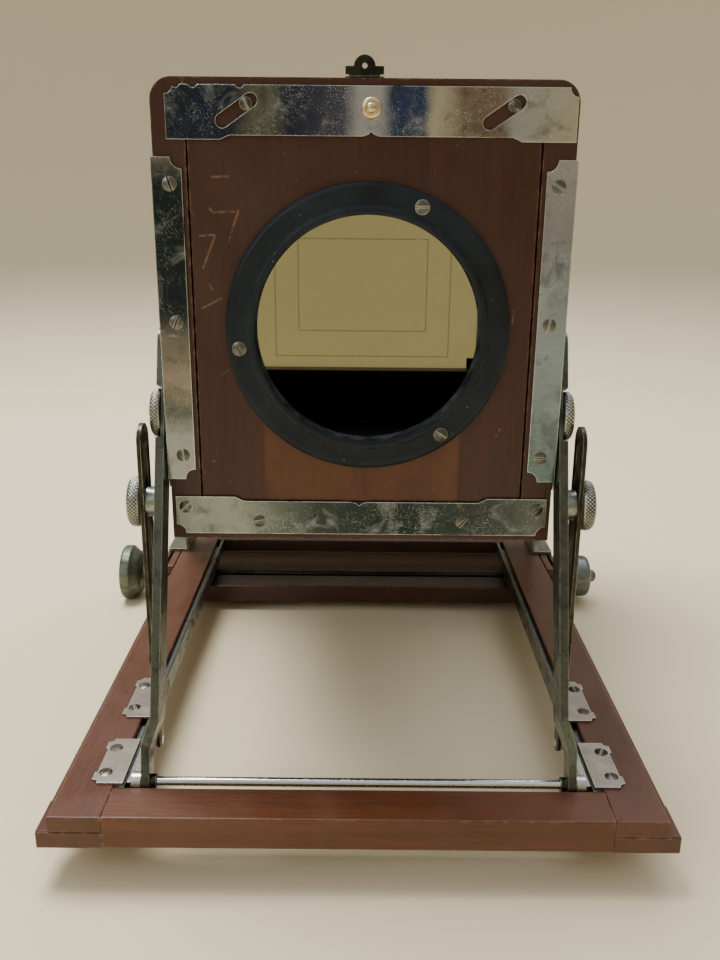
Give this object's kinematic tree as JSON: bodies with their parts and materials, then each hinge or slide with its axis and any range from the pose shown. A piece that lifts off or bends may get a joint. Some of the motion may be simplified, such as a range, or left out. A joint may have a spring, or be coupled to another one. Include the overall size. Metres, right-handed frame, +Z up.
{
  "type": "view camera",
  "caption": "Folding wooden view camera with sliding bed, raised front standard on metal struts, square bellows and a ground-glass back.",
  "frame": {"origin": "mouth of the tripod bush, on the plane that the camera stands on", "axes": "+X to the right seen from the lens side, -Y out of the lens opening, +Z up"},
  "size_m": [0.3303, 0.548, 0.3493],
  "materials": {
    "lacquered_wood": "semi-gloss lacquer, worn",
    "nickel_plate": "worn nickel plate",
    "milled_nickel": "milled, worn nickel",
    "aged_screw": "tarnished",
    "bright_steel": "bright",
    "brass": "aged",
    "dull_knob_metal": "dull, oxidised",
    "darkened_metal": "darkened",
    "brown_fibre": "matt",
    "black_lacquer": "satin",
    "black_wood": "matt black",
    "bellows_leather": "matt",
    "ground_glass": "ground"
  },
  "bodies": {
    "base": {"base_cheek_left": "lacquered_wood", "base_cheek_right": "lacquered_wood", "base_crosses": "lacquered_wood", "tripod_board": "lacquered_wood", "tripod_bush": "brass", "shaft_bearings": "nickel_plate", "bearing_screws": "aged_screw"},
    "pinion": {"pinion_shaft": "bright_steel", "pinions": "bright_steel", "focus_knob": "dull_knob_metal", "lock_washer": "brown_fibre"},
    "lock": {"lock_knob": "dull_knob_metal"},
    "bed": {"bed_side_rail_left": "lacquered_wood", "bed_side_rail_right": "lacquered_wood", "bed_front_rail": "lacquered_wood", "bed_rear_rail": "lacquered_wood", "rail_strips": "nickel_plate", "racks": "nickel_plate", "cover_plates": "nickel_plate", "cover_screws": "aged_screw", "strut_brackets": "nickel_plate"},
    "struts": {"strut_left": "nickel_plate", "strut_right": "nickel_plate", "cross_rod": "nickel_plate", "rod_collars": "darkened_metal", "clamp_studs": "aged_screw"},
    "braces": {"braces": "darkened_metal"},
    "brace_nut_left": {"brace_nut_left": "milled_nickel"},
    "brace_nut_right": {"brace_nut_right": "milled_nickel"},
    "tilt_nut_left": {"tilt_nut_left": "milled_nickel"},
    "tilt_nut_right": {"tilt_nut_right": "milled_nickel"},
    "front_standard": {"front_stiles": "lacquered_wood", "front_top_member": "lacquered_wood", "front_bottom_member": "lacquered_wood", "lens_board": "lacquered_wood", "ring_flange": "black_lacquer", "side_plates": "nickel_plate", "bottom_plate": "nickel_plate", "front_screws": "aged_screw", "pivot_plates": "nickel_plate", "lock_screws": "aged_screw", "bellows_front_frame": "black_wood"},
    "lock_slider": {"lock_plate": "nickel_plate", "lock_button": "brass"},
    "rear_body": {"rear_sides": "lacquered_wood", "rear_top": "lacquered_wood", "rear_bottom": "lacquered_wood", "bellows_rear_frame": "black_wood", "back_frame": "lacquered_wood", "rear_shoes": "nickel_plate", "shoe_screws": "aged_screw", "latch_base": "darkened_metal", "bellows": "bellows_leather", "back_springs": "nickel_plate"},
    "glass_back": {"glass_frame": "lacquered_wood", "ground_glass": "ground_glass", "glass_clips": "darkened_metal"},
    "shoe_nut_left": {"shoe_nut_left": "brass"},
    "shoe_nut_right": {"shoe_nut_right": "brass"},
    "latch": {"latch_tab": "darkened_metal"}
  },
  "joints": [
    {"name": "bed_slide", "type": "slide", "parent": "base", "child": "bed", "axis": [0, -1, 0], "range_m": [-0.08, 0.02], "deforming": ["bellows"]},
    {"name": "pinion_turn", "type": "hinge", "parent": "base", "child": "pinion", "pos_m": [0, -0.09, 0.018], "axis": [1, 0, 0], "range_deg": [-1150, 290]},
    {"name": "lock_turn", "type": "hinge", "parent": "pinion", "child": "lock", "pos_m": [0, -0.09, 0.018], "axis": [1, 0, 0], "range_deg": [-120, 0]},
    {"name": "strut_fold", "type": "hinge", "parent": "bed", "child": "struts", "pos_m": [0, -0.3458, 0.032], "axis": [-1, 0, 0], "range_deg": [-6, 16]},
    {"name": "brace_swing", "type": "hinge", "parent": "bed", "child": "braces", "pos_m": [0, -0.308, 0.0276], "axis": [-1, 0, 0], "range_deg": [-7, 18]},
    {"name": "brace_nut_left_turn", "type": "hinge", "parent": "struts", "child": "brace_nut_left", "pos_m": [0, -0.30514, 0.14384], "axis": [1, 0, 0], "range_deg": [0, 360]},
    {"name": "brace_nut_right_turn", "type": "hinge", "parent": "struts", "child": "brace_nut_right", "pos_m": [0, -0.30514, 0.14384], "axis": [1, 0, 0], "range_deg": [0, 360]},
    {"name": "frame_tilt", "type": "hinge", "parent": "struts", "child": "front_standard", "pos_m": [0, -0.292, 0.18], "axis": [-1, 0, 0], "range_deg": [-12, 8]},
    {"name": "tilt_nut_left_turn", "type": "hinge", "parent": "front_standard", "child": "tilt_nut_left", "pos_m": [0, -0.292, 0.18], "axis": [1, 0, 0], "range_deg": [0, 360]},
    {"name": "tilt_nut_right_turn", "type": "hinge", "parent": "front_standard", "child": "tilt_nut_right", "pos_m": [0, -0.292, 0.18], "axis": [1, 0, 0], "range_deg": [0, 360]},
    {"name": "lock_slide", "type": "slide", "parent": "front_standard", "child": "lock_slider", "axis": [0.829, 0, 0.5592], "range_m": [0, 0.011]},
    {"name": "rear_slide", "type": "slide", "parent": "base", "child": "rear_body", "axis": [0, 1, 0], "range_m": [0, 0.205]},
    {"name": "shoe_nut_left_turn", "type": "hinge", "parent": "rear_body", "child": "shoe_nut_left", "pos_m": [-0.1286, -0.056, 0.037], "axis": [0, 0, 1], "range_deg": [0, 360]},
    {"name": "shoe_nut_right_turn", "type": "hinge", "parent": "rear_body", "child": "shoe_nut_right", "pos_m": [0.1286, -0.056, 0.037], "axis": [0, 0, 1], "range_deg": [0, 360]},
    {"name": "back_travel", "type": "slide", "parent": "rear_body", "child": "glass_back", "axis": [0, 1, 0], "range_m": [0, 0.014], "stiffness_N_per_m": 400, "springref_m": -0.02, "deforming": ["back_springs"]},
    {"name": "latch_swing", "type": "hinge", "parent": "rear_body", "child": "latch", "pos_m": [0, -0.1012, 0.3364], "axis": [-1, 0, 0], "range_deg": [-25, 60]}
  ],
  "couplings": [
    {"joint": "pinion_turn", "follows": "bed_slide", "rad_per_m": 250},
    {"joint": "brace_swing", "follows": "strut_fold", "ratio": 0.999}
  ]
}
